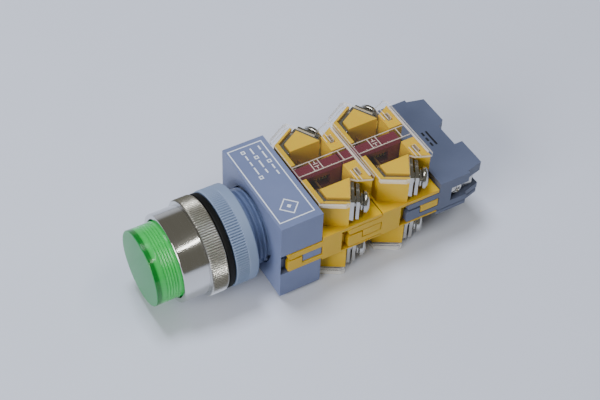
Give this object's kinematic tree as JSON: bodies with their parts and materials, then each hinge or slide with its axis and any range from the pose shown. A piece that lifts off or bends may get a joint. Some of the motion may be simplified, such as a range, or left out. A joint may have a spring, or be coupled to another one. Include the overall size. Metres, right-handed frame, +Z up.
{
  "type": "industrial push button",
  "caption": "Illuminated round panel push button with a knurled lock nut, an adapter block, stacked contact blocks with screw terminals and a lamp supply block.",
  "frame": {"origin": "under the middle of the part, on the surface that the lower covers lie on", "axes": "the button axis is Y and the lens faces -Y; +Z is up; +X and -X are the two terminal sides"},
  "size_m": [0.035, 0.1002, 0.029],
  "materials": {
    "green_lens": "clear green, glossy",
    "white_diffuser": "frosted white",
    "white_carrier": "moulded, satin",
    "turned_aluminium": "turned and polished",
    "black_rubber": "moulded",
    "nut_grey_blue": "moulded, satin",
    "sleeve_grey_blue": "moulded, satin",
    "block_grey_blue": "moulded, fine texture",
    "supply_grey_blue": "moulded, fine texture",
    "yellow_moulding": "moulded, slightly translucent",
    "maroon_moulding": "moulded",
    "clear_cover": "clear polycarbonate",
    "nickel_plate": "nickel plated",
    "contact_brass": "rolled brass",
    "spring_steel": "drawn wire",
    "bulb_glass": "clear glass with a metal cap",
    "white_ceramic": "unglazed"
  },
  "bodies": {
    "body": {"adapter_block": "block_grey_blue", "bezel": "turned_aluminium", "sealing_gasket": "black_rubber", "threaded_sleeve": "sleeve_grey_blue", "lamp_holder": "white_ceramic", "lamp_bulb": "bulb_glass", "lamp_lead_right": "contact_brass", "lamp_lead_left": "contact_brass", "return_spring": "spring_steel", "supply_housing": "supply_grey_blue", "supply_base": "supply_grey_blue", "supply_tab_right": "nickel_plate", "supply_tab_left": "nickel_plate", "series_resistor": "white_ceramic", "contact_housing_1": "yellow_moulding", "upper_cover_1": "clear_cover", "lower_cover_1": "clear_cover", "terminal_strip_upper_right_1": "nickel_plate", "terminal_strip_upper_left_1": "nickel_plate", "terminal_strip_lower_right_1": "nickel_plate", "terminal_strip_lower_left_1": "nickel_plate", "contact_housing_2": "yellow_moulding", "upper_cover_2": "clear_cover", "lower_cover_2": "clear_cover", "terminal_strip_upper_right_2": "nickel_plate", "terminal_strip_upper_left_2": "nickel_plate", "terminal_strip_lower_right_2": "nickel_plate", "terminal_strip_lower_left_2": "nickel_plate"},
    "button": {"lens_cap": "green_lens", "light_diffuser": "white_diffuser", "button_carrier": "white_carrier"},
    "nut": {"lock_nut": "nut_grey_blue"},
    "clamp_upper_right_1": {"terminal_screw_upper_right_1": "nickel_plate", "clamp_plate_upper_right_1": "nickel_plate"},
    "clamp_upper_left_1": {"terminal_screw_upper_left_1": "nickel_plate", "clamp_plate_upper_left_1": "nickel_plate"},
    "clamp_lower_right_1": {"terminal_screw_lower_right_1": "nickel_plate", "clamp_plate_lower_right_1": "nickel_plate"},
    "clamp_lower_left_1": {"terminal_screw_lower_left_1": "nickel_plate", "clamp_plate_lower_left_1": "nickel_plate"},
    "slider_1": {"slider_1": "maroon_moulding", "closed_contact_spring_1": "spring_steel", "open_contact_spring_1": "spring_steel"},
    "closed_bridge_1": {"closed_contact_bridge_1": "contact_brass"},
    "open_bridge_1": {"open_contact_bridge_1": "contact_brass"},
    "clamp_upper_right_2": {"terminal_screw_upper_right_2": "nickel_plate", "clamp_plate_upper_right_2": "nickel_plate"},
    "clamp_upper_left_2": {"terminal_screw_upper_left_2": "nickel_plate", "clamp_plate_upper_left_2": "nickel_plate"},
    "clamp_lower_right_2": {"terminal_screw_lower_right_2": "nickel_plate", "clamp_plate_lower_right_2": "nickel_plate"},
    "clamp_lower_left_2": {"terminal_screw_lower_left_2": "nickel_plate", "clamp_plate_lower_left_2": "nickel_plate"},
    "slider_2": {"slider_2": "maroon_moulding", "closed_contact_spring_2": "spring_steel", "open_contact_spring_2": "spring_steel"},
    "closed_bridge_2": {"closed_contact_bridge_2": "contact_brass"},
    "open_bridge_2": {"open_contact_bridge_2": "contact_brass"},
    "supply_screw_right": {"supply_screw_right": "nickel_plate"},
    "supply_screw_left": {"supply_screw_left": "nickel_plate"}
  },
  "joints": [
    {"name": "button_press", "type": "slide", "parent": "body", "child": "button", "axis": [0, 1, 0], "range_m": [0, 0.0045], "stiffness_N_per_m": 350, "springref_m": -0.004, "deforming": ["return_spring"]},
    {"name": "nut_turn", "type": "hinge", "parent": "body", "child": "nut", "pos_m": [0, -0.02455, 0.0145], "axis": [0, 1, 0], "continuous": true},
    {"name": "clamp_upper_right_1_lift", "type": "slide", "parent": "body", "child": "clamp_upper_right_1", "axis": [0.5, 0.866, 0], "range_m": [0, 0.0015]},
    {"name": "clamp_upper_left_1_lift", "type": "slide", "parent": "body", "child": "clamp_upper_left_1", "axis": [-0.5, 0.866, 0], "range_m": [0, 0.0015]},
    {"name": "clamp_lower_right_1_lift", "type": "slide", "parent": "body", "child": "clamp_lower_right_1", "axis": [0.5, 0.866, 0], "range_m": [0, 0.0015]},
    {"name": "clamp_lower_left_1_lift", "type": "slide", "parent": "body", "child": "clamp_lower_left_1", "axis": [-0.5, 0.866, 0], "range_m": [0, 0.0015]},
    {"name": "slider_1_travel", "type": "slide", "parent": "body", "child": "slider_1", "axis": [0, 1, 0], "range_m": [0, 0.0045]},
    {"name": "closed_bridge_1_lift", "type": "slide", "parent": "slider_1", "child": "closed_bridge_1", "axis": [0, 1, 0], "range_m": [0, 0.0006], "stiffness_N_per_m": 150, "springref_m": -0.001, "deforming": ["closed_contact_spring_1"]},
    {"name": "open_bridge_1_lift", "type": "slide", "parent": "slider_1", "child": "open_bridge_1", "axis": [0, 1, 0], "range_m": [-0.0006, 0], "stiffness_N_per_m": 150, "springref_m": 0.001, "deforming": ["open_contact_spring_1"]},
    {"name": "clamp_upper_right_2_lift", "type": "slide", "parent": "body", "child": "clamp_upper_right_2", "axis": [0.5, 0.866, 0], "range_m": [0, 0.0015]},
    {"name": "clamp_upper_left_2_lift", "type": "slide", "parent": "body", "child": "clamp_upper_left_2", "axis": [-0.5, 0.866, 0], "range_m": [0, 0.0015]},
    {"name": "clamp_lower_right_2_lift", "type": "slide", "parent": "body", "child": "clamp_lower_right_2", "axis": [0.5, 0.866, 0], "range_m": [0, 0.0015]},
    {"name": "clamp_lower_left_2_lift", "type": "slide", "parent": "body", "child": "clamp_lower_left_2", "axis": [-0.5, 0.866, 0], "range_m": [0, 0.0015]},
    {"name": "slider_2_travel", "type": "slide", "parent": "body", "child": "slider_2", "axis": [0, 1, 0], "range_m": [0, 0.0045]},
    {"name": "closed_bridge_2_lift", "type": "slide", "parent": "slider_2", "child": "closed_bridge_2", "axis": [0, 1, 0], "range_m": [0, 0.0006], "stiffness_N_per_m": 150, "springref_m": -0.001, "deforming": ["closed_contact_spring_2"]},
    {"name": "open_bridge_2_lift", "type": "slide", "parent": "slider_2", "child": "open_bridge_2", "axis": [0, 1, 0], "range_m": [-0.0006, 0], "stiffness_N_per_m": 150, "springref_m": 0.001, "deforming": ["open_contact_spring_2"]},
    {"name": "supply_screw_right_lift", "type": "slide", "parent": "body", "child": "supply_screw_right", "axis": [1, 0, 0], "range_m": [0, 0.0012]},
    {"name": "supply_screw_left_lift", "type": "slide", "parent": "body", "child": "supply_screw_left", "axis": [-1, 0, 0], "range_m": [0, 0.0012]}
  ],
  "couplings": [
    {"joint": "slider_1_travel", "follows": "button_press", "ratio": 1},
    {"joint": "slider_2_travel", "follows": "button_press", "ratio": 1}
  ]
}
